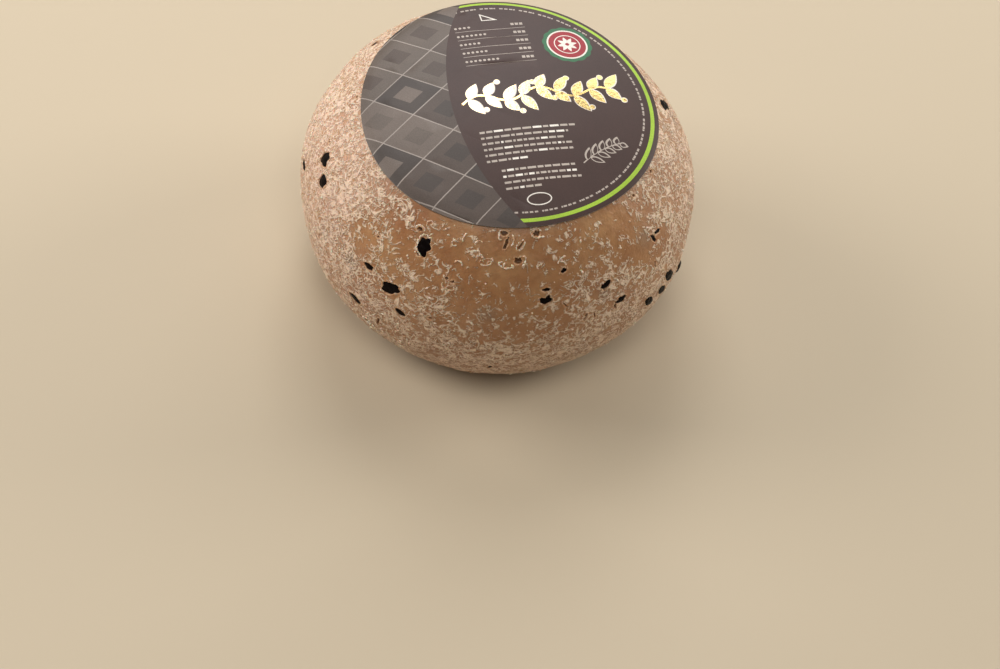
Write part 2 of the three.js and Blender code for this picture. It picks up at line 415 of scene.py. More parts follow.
# Places of thick and thin bloom: azimuth, latitude, strength, spread.
BLOOM_GROUND = 0.42
BLOOM_ZONES = [
    (-95, 10, 0.5, 45),
    (-58, 22, 0.3, 18),
    (-50, -5, 0.13, 20),
    (2, 24, -0.3, 26),
    (-32, 17, -0.22, 9),
    (-42, 18, -0.35, 5),
    (-62, 21, -0.25, 4),
    (-12, -24, 0.27, 27),
    (20, -20, 0.27, 22),
    (52, -4, 0.2, 20),
    (95, 15, 0.33, 26),
    (48, 30, -0.25, 11),
    (42, 16, 0.13, 12),
    (-6, 7, 0.16, 14),
    (57, 18, -0.3, 8),
    (-30, 4, 0.1, 14),
    (170, 0, 0.15, 60),
]
# Grey stains and orange-brown darker patches, the same way, with their hue from 0, grey, to 1, orange.
STAINS_AND_SHADE = [
    (-54, 5, 0.75, 2.6, 0),
    (-41, 6.5, 0.8, 2.4, 0),
    (3.5, 9.5, 0.55, 2.6, 0),
    (57.5, 21, 0.6, 3.2, 0),
    (39, 11.5, 0.7, 2.2, 0),
    (108.5, 24.5, 0.6, 3, 0),
    (-120, 25, 0.6, 3.5, 0),
    (-22, 27, 0.45, 2.2, 0),
    (-31.5, 31, 0.8, 9, 1),
    (-84.5, 32.5, 0.8, 3.5, 1),
    (-12, 26, 0.35, 9, 1),
    (150, 8, 0.6, 3, 0),
    (-170, -12, 0.6, 3, 0),
    (130, -20, 0.5, 6, 1),
    # Painted shade: these two broad orange-brown patches darken the lower front.
    (0, -17, 0.9, 20, 1),
    (-38, -4, 0.8, 15, 1),
]


def skin_directions():
    """The skin's vertices as directions, with its faces: a grid for the side and two caps."""
    columns = round(2 * math.pi * WHEEL_RADIUS / GRID_STEP)
    arc = math.radians(GRID_TOP - GRID_FOOT) * WHEEL_RADIUS
    rows = round(arc / GRID_STEP)
    azimuths = np.arange(columns) * 360 / columns
    places = []
    for level in np.linspace(GRID_FOOT, GRID_TOP, rows):
        places.extend(directions(azimuths, np.full(columns, level)))
    faces = []
    for row in range(rows - 1):
        for column in range(columns):
            here = row * columns + column
            right = row * columns + (column + 1) % columns
            faces.append((here, right, right + columns, here + columns))
    for ring_start, pole in ((0, -90), ((rows - 1) * columns, 90)):
        first = len(places)
        edge_level = GRID_FOOT if pole < 0 else GRID_TOP
        rings = round(math.radians(abs(pole - edge_level)) * EQUATOR_HEIGHT / CAP_STEP)
        for level in np.linspace(edge_level, pole, rings + 1)[1:]:
            girth = 2 * math.pi * EQUATOR_HEIGHT * math.cos(math.radians(level))
            around = max(1, round(girth / CAP_STEP))
            places.extend(directions(np.arange(around) * 360 / around, np.full(around, level)))
        members = list(range(ring_start, ring_start + columns)) + list(range(first, len(places)))
        flat = rind_points(np.array([places[i] for i in members]))[:, :2]
        edge = [(i, (i + 1) % columns) for i in range(columns)]
        filled = delaunay_2d_cdt([Vector(point) for point in flat], edge, [], 1, 1e-7)
        triangles, sources = filled[2], filled[3]
        faces.extend(tuple(members[sources[corner][0]] for corner in face) for face in triangles)
    return places, faces


def refine_near_pits(shell, pits, level):
    """Halves the edges that lie within a pit's reach, so that its outline comes out crisp."""
    shell.verts.ensure_lookup_table()
    places = np.array([vert.co for vert in shell.verts])
    places /= np.linalg.norm(places, axis=1)[:, None]
    near = np.zeros(len(places), dtype=bool)
    for azimuth, latitude, length in (pit[:3] for pit in pits):
        middle = directions(azimuth, latitude)
        reach = (length / 2 + PIT_MARGIN / level) / form_distance(middle[None])[0]
        near |= places @ middle > math.cos(reach)
    chosen = [edge for edge in shell.edges if near[edge.verts[0].index] and near[edge.verts[1].index]]
    bmesh.ops.subdivide_edges(shell, edges=chosen, cuts=1, use_grid_fill=True)


def sink_pits(direction, points):
    """Presses the pits into the skin. Gives its places, and how hollow and how lipped each one is."""
    draw = make_draw(DRAW_SEED + 2)
    hollow = np.zeros(len(points))
    lip = np.zeros(len(points))
    sink = np.zeros(len(points))
    for pit in CHIPS + BARE_PITS + PORES:
        beyond = edge_distance(points, pit, draw)
        same_side = direction @ directions(pit[0], pit[1]) > 0.9
        depth = PIT_DEPTH + PIT_DEPTH_PER_WIDTH * pit[3]
        wall = min(PIT_WALL, pit[3] / 3)
        hollow = np.maximum(hollow, same_side * smoothstep(0, -wall, beyond))
        sink = np.maximum(sink, same_side * depth * smoothstep(0, -wall, beyond))
        lip = np.maximum(lip, same_side * np.exp(-(((beyond - LIP_WIDTH / 2) / LIP_WIDTH) ** 2)))
    moved = points + direction * (LIP_HEIGHT * lip * (1 - hollow) - sink)[:, None]
    moved[:, 2] = np.maximum(moved[:, 2], 0)
    return moved, hollow, lip


def skin_maps(direction, hollow, lip):
    """Masks from 0 to 1 at each vertex, for the material and for what is strewn over the skin."""
    bloom = np.full(len(direction), BLOOM_GROUND)
    for zone in BLOOM_ZONES:
        bloom += spot(direction, *zone)
    stain = np.zeros((2, len(direction)))
    for *place, hue in STAINS_AND_SHADE:
        stain[hue] = np.maximum(stain[hue], spot(direction, *place))
    under_label = smoothstep(*CALM_TOP, direction[:, 2])
    near_base = smoothstep(*CALM_FOOT, -direction[:, 2])
    return {
        "hollow": hollow,
        "lip": lip * (1 - hollow),
        "bloom": np.clip(bloom, 0, 1),
        "lively": 1 - under_label - near_base,
        "grey_stain": stain[0],
        "orange_stain_and_shade": stain[1],
    }


def build_skin():
    places, faces = skin_directions()
    mesh = bpy.data.meshes.new("rind")
    mesh.from_pydata([tuple(place) for place in places], [], faces)
    shell = bmesh.new()
    shell.from_mesh(mesh)
    refine_near_pits(shell, CHIPS + BARE_PITS + PORES, 1)
    refine_near_pits(shell, SHOWN_CHIPS + BARE_PITS + PORES, 2)
    bmesh.ops.triangulate(shell, faces=shell.faces)
    direction = np.array([vert.co for vert in shell.verts])
    direction /= np.linalg.norm(direction, axis=1)[:, None]
    moved, hollow, lip = sink_pits(direction, rind_points(direction))
    for vert, place in zip(shell.verts, moved * MM):
        vert.co = place
    bmesh.ops.recalc_face_normals(shell, faces=shell.faces)
    shell.to_mesh(mesh)
    shell.free()
    for title, values in skin_maps(direction, hollow, lip).items():
        masks = mesh.attributes.new(title, "FLOAT", "POINT")
        masks.data.foreach_set("value", values.astype(np.float32))
    return mesh_object("rind", mesh)


def rind_relief():
    """Lumps and wrinkles along the normal, fading towards the label and the base."""
    titles = ("Lump Size", "Lump Height", "Wrinkle Size", "Wrinkle Height")
    tree, start, end = shape_tree("rind_relief", dict.fromkeys(titles, "Float"))
    place = add_node(tree, "GeometryNodeInputPosition")
    axis = scaled(tree, add_node(tree, "GeometryNodeInputNormal"), stored(tree, "lively"))
    lumps, wrinkles = [
        noise_offset(tree, place, axis, start.outputs[kind + " Size"], start.outputs[kind + " Height"])
        for kind in ("Lump", "Wrinkle")
    ]
    both = add_node(tree, "ShaderNodeVectorMath", {"operation": "ADD"}, {0: lumps, 1: wrinkles})
    wire(tree, end, {0: pushed(tree, start.outputs["Geometry"], both)})
    return tree


def object_place(tree):
    return add_node(tree, "ShaderNodeTexCoord").outputs["Object"]


def shader_group(name, inputs, output):
    """A shader node group with named inputs and one output, and its two end nodes."""
    tree = bpy.data.node_groups.new(name, "ShaderNodeTree")
    for title, value in inputs.items():
        socket = tree.interface.new_socket(title, in_out="INPUT", socket_type="NodeSocketFloat")
        socket.default_value = value
    tree.interface.new_socket(output, in_out="OUTPUT", socket_type="NodeSocketFloat")
    return tree, tree.nodes.new("NodeGroupInput"), tree.nodes.new("NodeGroupOutput")


def fleck_group():
    """Curly pale flecks of bloom: the thin contour lines of a noise, broken up by another."""
    inputs = {"Coverage": 0.5, "Size": 2 * MM, "Width": 0.05}
    tree, start, end = shader_group("bloom_flecks", inputs, "Mask")
    place = object_place(tree)
    contour = noise(tree, place, start.outputs["Size"], 1.2, 0.7)
    off_line = calc(tree, "ABSOLUTE", calc(tree, "SUBTRACT", contour, 0.5))
    line = ease(tree, off_line, start.outputs["Width"], 0.0)
    aside = {0: place, 1: (0.3, 0.1, 0.2)}
    shifted = add_node(tree, "ShaderNodeVectorMath", {"operation": "ADD"}, aside)
    patches = noise(tree, shifted, calc(tree, "DIVIDE", start.outputs["Size"], 0.8).outputs[0], 3.0)
    threshold = calc(tree, "SUBTRACT", 0.7, calc(tree, "MULTIPLY", start.outputs["Coverage"], 0.42))
    kept = calc(tree, "SUBTRACT", patches, threshold)
    wire(tree, end, {0: calc(tree, "MULTIPLY", line, ease(tree, kept, -0.02, 0.04))})
    return tree


FLECKS = fleck_group()


def flecks(tree, coverage, size, width):
    values = {"Coverage": coverage, "Size": size, "Width": width}
    return add_node(tree, "ShaderNodeGroup", {"node_tree": FLECKS}, values)


def new_material(name):
    """A material with its Principled shader, ready to be wired."""
    material = bpy.data.materials.new(name)
    material.use_nodes = True
    return material, material.node_tree, material.node_tree.nodes["Principled BSDF"]


def bumps(tree, height, distance, strength=1.0):
    """A shading normal for a relief that is some millimetres high."""
    values = {"Height": height, "Distance": distance * MM, "Strength": strength}
    return add_node(tree, "ShaderNodeBump", {}, values)


RIND_COLOURS = {
    "deep_wax": "ae7c51",
    "pale_wax": "c09365",
    "mottle": "8a5c3b",
    # Orange stains, and painted shade on the lower front.
    "orange_stain_and_shade": "94572e",
    # Darker base between flecks, and painted shade on the lower side.
    "base_dark_and_shade": "7c5233",
    "haze": "cea48e",
    "grey_stain": "75695f",
    "thin_crust": "f2dcc2",
    "thick_crust": "ebd0bb",
    "pit_ring": "b5703c",
    # Pale of the raised lips: partly bloom film, partly a painted highlight.
    "pit_lip_film_and_highlight": "e6c4a0",
    # Painted shade for the pits' hollows.
    "pit_floor_shade": "63401f",
}
FLECK_LAYERS = [(1.9, 0.1), (3.1, 0.075), (4.8, 0.045)]  # how widely the flecks curl, and their line


def rind_material():
    material, tree, shader = new_material("waxy_rind")
    place = object_place(tree)

    def painted(title):
        return add_node(tree, "ShaderNodeAttribute", {"attribute_name": title}).outputs["Fac"]

    def tone(name):
        return colour(RIND_COLOURS[name])

    def layer(ground, mask, strength, name):
        """Lays one of the rind's colours over the ground by a mask."""
        return blend(tree, calc(tree, "MULTIPLY", mask, strength), ground, tone(name))

    bloom = painted("bloom")
    thick = calc(tree, "POWER", bloom, 3.0)
    # Strongest where the bloom is neither thick nor thin, as on the lower side.
    mid_bloom_shade = calc(tree, "MULTIPLY", bloom, calc(tree, "SUBTRACT", 1.0, thick))
    clouds = ease(tree, noise(tree, place, 11 * MM, 3), 0.3, 0.7)
    mottle = ease(tree, noise(tree, place, 2.4 * MM, 4, 0.5), 0.4, 0.7)
    haze = calc(tree, "MULTIPLY", thick, ease(tree, noise(tree, place, 4 * MM, 5, 0.4), 0.22, 0.62))
    wax = blend(tree, clouds, tone("deep_wax"), tone("pale_wax"))
    wax = layer(wax, mottle, 0.32, "mottle")
    # Orange-brown darkening from the listed patches; on the lower front it is painted shade.
    wax = layer(wax, painted("orange_stain_and_shade"), 0.7, "orange_stain_and_shade")
    # Darker wax under middling bloom, mostly on the lower side: partly the darker base between flecks,
    # partly painted shade.
    wax = layer(wax, mid_bloom_shade, 0.7, "base_dark_and_shade")
    wax = layer(wax, haze, 0.86, "haze")
    wax = layer(wax, painted("grey_stain"), 0.75, "grey_stain")

    uneven = calc(tree, "ADD", bloom, calc(tree, "SUBTRACT", noise(tree, place, 9 * MM, 2), 0.5))
    crust = 0.0
    for size, width in FLECK_LAYERS:
        crust = calc(tree, "MAXIMUM", crust, flecks(tree, uneven, size * MM, width))
    crust = calc(tree, "MULTIPLY", crust, calc(tree, "SUBTRACT", 1.0, painted("hollow")))
    cream = blend(tree, thick, tone("thin_crust"), tone("thick_crust"))
    ragged = ease(tree, noise(tree, place, 1.1 * MM, 3), 0.35, 0.6)
    skin = blend(tree, calc(tree, "MULTIPLY", crust, 0.82), wax, cream)
    skin = layer(skin, painted("lip"), 0.5, "pit_ring")
    # Pale on the pits' raised lips: partly a film of bloom, partly a painted highlight.
    skin = layer(skin, calc(tree, "MULTIPLY", painted("lip"), ragged), 0.7, "pit_lip_film_and_highlight")
    # Painted shade: the pits' floors are darkened to deep brown.
    skin = layer(skin, painted("hollow"), 1.0, "pit_floor_shade")

    dull = calc(tree, "ADD", calc(tree, "MULTIPLY", haze, 0.2), calc(tree, "MULTIPLY", crust, 0.2))
    grain = calc(tree, "MULTIPLY", noise(tree, place, 0.9 * MM, 4), 0.5)
    finish = {
        "Base Color": skin,
        "Roughness": calc(tree, "ADD", 0.4, dull),
        "Normal": bumps(tree, calc(tree, "ADD", crust, grain), 0.34),
        "Subsurface Weight": 0.2,
        "Subsurface Radius": (1.0, 0.5, 0.25),
        "Subsurface Scale": 2.0 * MM,
        "Specular IOR Level": 0.4,
    }
    wire(tree, shader, finish)
    return material


skin = build_skin()
rind_mesh = grown(
    "rind",
    skin,
    rind_relief(),
    {
        "Lump Size": LUMP_SIZE * MM,
        "Lump Height": LUMP_HEIGHT * MM,
        "Wrinkle Size": WRINKLE_SIZE * MM,
        "Wrinkle Height": WRINKLE_HEIGHT * MM,
    },
)
bpy.data.objects.remove(skin)
rind_mesh.materials.append(rind_material())
rind_mesh.shade_smooth()
rind = mesh_object("rind", rind_mesh)
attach(rind, "root")
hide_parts("cheese")


# ---- Chocolate ----
# The broken pieces themselves: near-black, a little glossy where they snapped and dulled by a
# film of fat. Each fills its pit to just below the rind and goes on under its edge.
CHIP_RECESS = 0.02
CHIP_OVERREACH = 1.16  # chip over pit, so that the ragged pit is filled everywhere
CHIP_FLATNESS = 0.45  # power of a chip's rise towards its middle: 1 is a ball, less is flatter
CHIP_ROOT = 1.4
CHIP_ROUGHNESS_SIZE = 1.7
CHIP_ROUGHNESS = 0.42


def chip_seeds():
    """One vertex for each chip, with the chip's size and the way it faces."""
    places, sizes, turns = [], [], []
    for chip in CHIPS:
        azimuth, latitude, length, width, turn, rise = (*chip, -CHIP_RECESS)[:6]
        middle, along, across, outward = pit_frame(azimuth, latitude, turn)
        thickness = PIT_DEPTH + PIT_DEPTH_PER_WIDTH * width + rise + CHIP_ROOT
        places.append((middle + outward * (rise - thickness / 2)) * MM)
        sizes.append(np.array([length * CHIP_OVERREACH, width * CHIP_OVERREACH, thickness]) / 2 * MM)
        turns.append(Matrix((along, across, outward)).transposed().to_quaternion())
    mesh = bpy.data.meshes.new("chip_seeds")
    mesh.from_pydata([tuple(place) for place in places], [], [])
    held_sizes = mesh.attributes.new("chip_size", "FLOAT_VECTOR", "POINT")
    held_sizes.data.foreach_set("vector", np.ravel(sizes))
    held_turns = mesh.attributes.new("chip_turn", "QUATERNION", "POINT")
    held_turns.data.foreach_set("value", np.ravel(turns))
    return mesh_object("chip_seeds", mesh)


def realized(tree, instances):
    return add_node(tree, "GeometryNodeRealizeInstances", {}, {"Geometry": instances})


def dressed(tree, geometry, material):
    return add_node(tree, "GeometryNodeSetMaterial", {}, {"Geometry": geometry, "Material": material})


def chip_tree():
    """A rough lump on each seed, turned and stretched to its chip, then broken up by noise."""
    inputs = dict.fromkeys(("Roughness Size", "Roughness", "Flatness"), "Float")
    tree, start, end = shape_tree("chocolate_chips", {**inputs, "Material": "Material"})
    place = add_node(tree, "GeometryNodeInputPosition")
    axis = add_node(tree, "GeometryNodeInputNormal")
    ball = add_node(tree, "GeometryNodeMeshIcoSphere", {}, {"Radius": 1.0, "Subdivisions": 4})
    x, y, z = add_node(tree, "ShaderNodeSeparateXYZ", {}, {0: place}).outputs
    rise = calc(tree, "POWER", calc(tree, "ABSOLUTE", z), start.outputs["Flatness"])
    flat_z = calc(tree, "MULTIPLY", rise, calc(tree, "SIGN", z))
    flat_place = add_node(tree, "ShaderNodeCombineXYZ", {}, {0: x, 1: y, 2: flat_z})
    lump = add_node(tree, "GeometryNodeSetPosition", {}, {"Geometry": ball, "Position": flat_place})
    spread = add_node(
        tree,
        "GeometryNodeInstanceOnPoints",
        {},
        {
            "Points": start.outputs["Geometry"],
            "Instance": lump,
            "Rotation": stored(tree, "chip_turn", "QUATERNION"),
            "Scale": stored(tree, "chip_size", "FLOAT_VECTOR"),
        },
    )
    push = noise_offset(tree, place, axis, start.outputs["Roughness Size"], start.outputs["Roughness"])
    rough = pushed(tree, realized(tree, spread), push)
    wire(tree, end, {0: dressed(tree, rough, start.outputs["Material"])})
    return tree


def chocolate_material():
    material, tree, shader = new_material("dark_chocolate")
    place = object_place(tree)
    film = ease(tree, noise(tree, place, 1.1 * MM, 4, 0.5), 0.55, 0.8)
    dulled = calc(tree, "MULTIPLY", film, 0.5)
    finish = {
        "Base Color": blend(tree, dulled, colour("0c0606"), colour("251613")),
        "Roughness": calc(tree, "ADD", 0.42, calc(tree, "MULTIPLY", film, 0.3)),
        "Normal": bumps(tree, noise(tree, place, 0.6 * MM, 3), 0.2, 0.8),
        "Specular IOR Level": 0.05,
    }
    wire(tree, shader, finish)
    return material


seeds = chip_seeds()
chip_mesh = grown(
    "chocolate",
    seeds,
    chip_tree(),
    {
        "Roughness Size": CHIP_ROUGHNESS_SIZE * MM,
        "Roughness": CHIP_ROUGHNESS * MM,
        "Flatness": CHIP_FLATNESS,
        "Material": chocolate_material(),
    },
)
bpy.data.objects.remove(seeds)
chip_mesh.shade_smooth()
chocolate = mesh_object("chocolate", chip_mesh)
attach(chocolate, "root")
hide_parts("cheese")


# ---- Bloom curls, ridges and crumbs ----
# Where the bloom is thick it stands up from the rind: dried curls of film like shavings, a few
# millimetres long, raised ridges round the pits, and crumbs of salt. They are small closed solids,
# the curls and crumbs strewn by how thick the bloom is, and the ridges at their places.
CURL_STATIONS = 7
CURL_KINDS = 9
CURL_GIRTH = 0.3  # of a curl's length
CURL_UNEVENNESS = (0.55, 1.25)
CURL_BEND = 4.4  # radians from tip to tip, at most
CURL_WOBBLE = (0.2, 0.9)
CURL_LENGTH = (0.6, 1.8)
CURLS_PER_M2 = 120000
CRUMBS_PER_M2 = 190000
CRUMB_SIZE = (0.13, 0.42)
STREW_SEED = 11
SPIN_SEED = 5
SIZE_SEED = 9
RIDGE_GIRTH = 0.55
RIDGE_UNEVENNESS = (0.35, 1.5)
RIDGE_STEP = 0.3
RIDGE_WANDER = 0.26
RIDGE_ROUGHNESS = 0.08
# Each is an azimuth, latitude, length, width and turn of an oval, and the part of it that stands.
SHOWN_RIDGES = [
    (5.5, 34, 3.8, 3.4, 0, 100, 260),
    (7.5, 32.8, 3, 4.6, 0, -70, 60),
    (11.5, 31, 4, 1.9, 55, 10, 165),
    (11.5, 31, 4, 1.9, 55, 200, 350),
    (11.8, 26.6, 3.6, 3.2, 0, -80, 110),
    (6.9, 25.2, 4.4, 2.0, -10, 150, 395),
    (6.7, 25.1, 1.7, 0.7, 80, 0, 180),
    (5.2, 25.6, 1.5, 0.8, 20, 0, 200),
    (9.0, 24.7, 1.1, 0.8, 0, -90, 120),
    (-9.5, 16.2, 4.2, 3.4, 0, 160, 390),
    (-9.2, 15.4, 1.6, 1.6, 20, 0, 280),
    (-21.5, 31, 2.1, 2.6, 0, 0, 300),
    (-3, 30.5, 2.6, 1.5, 20, 0, 230),
    (-3.3, 27.3, 3, 2.2, 10, -150, 130),
    (-1.6, 26.8, 1.2, 1.3, 0, -60, 190),
    (0.6, 25.7, 3.6, 1.8, 15, -20, 150),
    (0.3, 25.0, 3.4, 1.2, 10, 190, 380),
    (1.5, 25.1, 1.8, 1.0, 60, -60, 160),
    (-0.9, 25.3, 1.6, 0.8, -10, 20, 240),
    (18.2, 24.6, 1.8, 1.4, 0, 40, 250),
    (25.7, 25.7, 3.4, 1.2, 35, 0, 190),
    (26, 24.6, 2.4, 1, -40, 0, 180),
    (17.5, 34.5, 3.3, 2.7, 0, 20, 330),
    (-8, 31.2, 3, 1.2, 80, 0, 180),
    (-11, 28.8, 2, 1.8, 0, 60, 330),
    (-8, 23.3, 2.4, 1.6, 0, -40, 200),
    (-24, 28.5, 3, 2.4, 0, -30, 200),
    (-20, 24.5, 7.2, 5.4, -70, 130, 330),
    (-33, -14.5, 3.4, 3, 0, 0, 330),
]


def closed_tube(path, up, sides, girths):
    """The corners and faces of a tube through a path that lies level to up, with shut tips."""
    ahead = np.gradient(path, axis=0)
    ahead /= np.linalg.norm(ahead, axis=1)[:, None]
    verts = [path[0]]
    for i in range(1, len(path) - 1):
        beside = np.cross(up, ahead[i])
        beside /= np.linalg.norm(beside)
        for corner in range(sides):
            angle = 2 * math.pi * (corner + 0.25) / sides
            verts.append(path[i] + (beside * math.cos(angle) + up * math.sin(angle)) * girths[i] / 2)
    verts.append(path[-1])
    last = len(verts) - 1
    faces = []
    for corner in range(sides):
        after = (corner + 1) % sides
        faces.append((0, 1 + after, 1 + corner))
        for ring in range(len(path) - 3):
            low = 1 + sides * ring
            faces.append((low + corner, low + after, low + sides + after, low + sides + corner))
        faces.append((last, last - sides + corner, last - sides + after))
    return verts, faces


def curl_mesh(kind, draw):
    """A bent sliver, one unit long."""
    bend = between((-CURL_BEND, CURL_BEND), draw())
    wobble = between(CURL_WOBBLE, draw())
    shares = np.linspace(0, 1, CURL_STATIONS)
    heading = bend * (shares - 0.5) + wobble * np.sin(5 * shares + 6 * draw())
    steps = np.stack([np.cos(heading), np.sin(heading)], axis=1)
    level = np.cumsum(steps, axis=0) / (CURL_STATIONS - 1)
    level -= level.mean(axis=0)
    path = np.column_stack([level, np.zeros(CURL_STATIONS)])
    girths = [CURL_GIRTH * between(CURL_UNEVENNESS, draw()) for _ in shares]
    verts, faces = closed_tube(path, np.array([0.0, 0.0, 1.0]), 3, girths)
    mesh = bpy.data.meshes.new(f"curl_{kind}")
    mesh.from_pydata([tuple(vert) for vert in verts], [], faces)
    return mesh


def curl_kinds():
    """A collection of different curls, for the tree to pick from."""
    kinds = bpy.data.collections.new("curl_kinds")
    draw = make_draw(DRAW_SEED + 3)
    for kind in range(CURL_KINDS):
        kinds.objects.link(bpy.data.objects.new(f"curl_{kind}", curl_mesh(kind, draw)))
    return kinds


def ridge_path(ridge, draw):
    """Places along a part of an oval on the rind, each strayed a little from it."""
    azimuth, latitude, length, width, turn, first, last = ridge
    middle, along, across, _ = pit_frame(azimuth, latitude, turn)
    count = max(6, round(math.radians(last - first) * (length + width) / 4 / RIDGE_STEP))
    angles = np.radians(np.linspace(first, last, count))
    stray = 1 + RIDGE_WANDER * np.array([between((-1, 1), draw()) for _ in angles])
    stray = np.convolve(np.pad(stray, 1, mode="edge"), (0.3, 0.4, 0.3), mode="valid")
    flat = np.outer(np.cos(angles) * stray * length / 2, along)
    flat += np.outer(np.sin(angles) * stray * width / 2, across)
    outward = middle + flat - (0, 0, EQUATOR_HEIGHT)
    return rind_points(outward / np.linalg.norm(outward, axis=1)[:, None])


def ridge_mesh():
    """The raised film at its places: uneven, rough tubes over the rind."""
    draw = make_draw(DRAW_SEED + 4)
    jitter = (-RIDGE_ROUGHNESS, RIDGE_ROUGHNESS)
    verts, faces = [], []
    for ridge in SHOWN_RIDGES:
        path = ridge_path(ridge, draw)
        girths = [RIDGE_GIRTH * between(RIDGE_UNEVENNESS, draw()) for _ in path]
        outward = path.mean(axis=0) - (0, 0, EQUATOR_HEIGHT)
        tube, tube_faces = closed_tube(path, outward / np.linalg.norm(outward), 5, girths)
        faces += [tuple(corner + len(verts) for corner in face) for face in tube_faces]
        verts += [vert + [between(jitter, draw()) for _ in vert] for vert in tube]
    mesh = bpy.data.meshes.new("bloom_ridges")
    mesh.from_pydata([tuple(vert * MM) for vert in verts], [], faces)
    return mesh


def random_between(tree, low, high, seed):
    inputs = {2: low, 3: high, 8: seed}
    return add_node(tree, "FunctionNodeRandomValue", {"data_type": "FLOAT"}, inputs).outputs[1]


def strew_tree(name, from_kinds):
    """Strews pieces over a skin by its bloom, each lying flat, turned and sized at random."""
    inputs = dict.fromkeys(("Density", "Smallest", "Largest"), "Float")
    inputs.update({"Seed": "Int", "Material": "Material", "Kinds": "Collection"})
    tree, start, end = shape_tree(name, inputs)
    patches = ease(tree, noise(tree, add_node(tree, "GeometryNodeInputPosition"), 6 * MM), 0.38, 0.6)
    thick = calc(tree, "MULTIPLY", calc(tree, "POWER", stored(tree, "bloom"), 1.1), patches)
    open_skin = calc(tree, "SUBTRACT", 1.0, stored(tree, "hollow"))
    open_skin = calc(tree, "MULTIPLY", stored(tree, "lively"), open_skin)
    density = calc(tree, "MULTIPLY", calc(tree, "MULTIPLY", thick, open_skin), start.outputs["Density"])
    strewn = add_node(
        tree,
        "GeometryNodeDistributePointsOnFaces",
        {"distribute_method": "RANDOM"},
        {"Mesh": start.outputs["Geometry"], "Density": density, "Seed": start.outputs["Seed"]},
    )
    angle = random_between(tree, 0.0, 2 * math.pi, SPIN_SEED)
    spin = add_node(tree, "ShaderNodeCombineXYZ", {}, {"Z": angle})
    spin = add_node(tree, "FunctionNodeEulerToRotation", {}, {"Euler": spin})
    turned = add_node(
        tree,
        "FunctionNodeRotateRotation",
        {"rotation_space": "LOCAL"},
        {"Rotation": strewn.outputs["Rotation"], "Rotate By": spin},
    )
    if from_kinds:
        choice = {"Separate Children": True, "Reset Children": True}
        choice["Collection"] = start.outputs["Kinds"]
        shapes = add_node(tree, "GeometryNodeCollectionInfo", {}, choice)
    else:
        shapes = add_node(tree, "GeometryNodeMeshIcoSphere", {}, {"Radius": 1.0, "Subdivisions": 1})
    size = random_between(tree, start.outputs["Smallest"], start.outputs["Largest"], SIZE_SEED)
    placing = {
        "Points": strewn,
        "Instance": shapes,
        "Pick Instance": from_kinds,
        "Rotation": turned,
        "Scale": size,
    }
    placed = add_node(tree, "GeometryNodeInstanceOnPoints", {}, placing)
    wire(tree, end, {0: dressed(tree, realized(tree, placed), start.outputs["Material"])})
    return tree


def bloom_material():
    material, tree, shader = new_material("dry_bloom")
    tone = ease(tree, noise(tree, object_place(tree), 3 * MM, 2), 0.35, 0.65)
    finish = {
        "Base Color": blend(tree, tone, colour("cfab89"), colour("f0dfcb")),
        "Roughness": 0.6,
        "Subsurface Weight": 0.3,
        "Subsurface Scale": 0.6 * MM,
    }
    wire(tree, shader, finish)
    return material


dry_bloom = bloom_material()
kinds = curl_kinds()
for name, from_kinds, density, sizes in (
    ("bloom_curls", True, CURLS_PER_M2, CURL_LENGTH),
    ("bloom_crumbs", False, CRUMBS_PER_M2, CRUMB_SIZE),
):
    values = {"Density": density, "Smallest": sizes[0] * MM, "Largest": sizes[1] * MM}
    values.update({"Seed": STREW_SEED, "Material": dry_bloom, "Kinds": kinds})
    strewn_mesh = grown(name, rind, strew_tree(name, from_kinds), values)
    strewn_mesh.shade_smooth()
    piece = mesh_object(name, strewn_mesh)
    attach(piece, "root")
    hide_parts("cheese")
for kind in list(kinds.objects):
    bpy.data.objects.remove(kind)
bpy.data.collections.remove(kinds)

ridges_mesh = ridge_mesh()
ridges_mesh.materials.append(dry_bloom)
ridges_mesh.shade_smooth()
ridges = mesh_object("bloom_ridges", ridges_mesh)
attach(ridges, "root")
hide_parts("cheese")


# ---- Label ----
# A round printed paper, glued over the dome: brown-grey ground with a green line round it, a
# grey trellis at one side, a garland in gold foil, and small marks in cream. Its print is plain
# shapes cut into the one sheet, each with its own ink, and the edge curls a little off the rind.
LABEL_RADIUS = 49.3
LABEL_THICKNESS = 0.3
LABEL_GAP = 0.3
LABEL_CURL = 0.5
LABEL_CURL_POWER = 8
LABEL_OFFSET = (-0.3, 0.5)
LABEL_LOBE = 0.7
RIM_POINTS = 300
RIM_ANGLE = 40.0  # edges sharper than this are shaded as edges
PAPER_COLOUR = "7d7874"
PRINT_TURN = 20.0  # how far the print's level rises to the right
PRINT_SEED = 73
HEIGHT_HALVINGS = 36


def top_heights(x, y):
    """Heights of the rind over places near the top, found by halving the range of latitudes."""
    azimuth = np.degrees(np.arctan2(x, -y))
    low = np.zeros(len(x))
    high = np.full(len(x), 90.0)
    for _ in range(HEIGHT_HALVINGS):
        latitude = (low + high) / 2
        points = rind_points(directions(azimuth, latitude))
        outside = np.hypot(points[:, 0], points[:, 1]) > np.hypot(x, y)
        low = np.where(outside, latitude, low)
        high = np.where(outside, high, latitude)
    return rind_points(directions(azimuth, high))[:, 2]


def laid_on_top(flat, above):
    """Lays places of the flat sheet over the dome, some way above the label's underside."""
    u, v = np.array(flat).T
    reach = np.hypot(u, v) / LABEL_RADIUS
    lobe = 1 + np.cos(3 * np.arctan2(v, u)) * LABEL_LOBE / LABEL_RADIUS * reach**2
    x = u * lobe + LABEL_OFFSET[0]
    y = v * lobe + LABEL_OFFSET[1]
    height = top_heights(x, y) + LABEL_GAP + LABEL_CURL * reach**LABEL_CURL_POWER + above
    return np.stack([x, y, height], axis=1) * MM


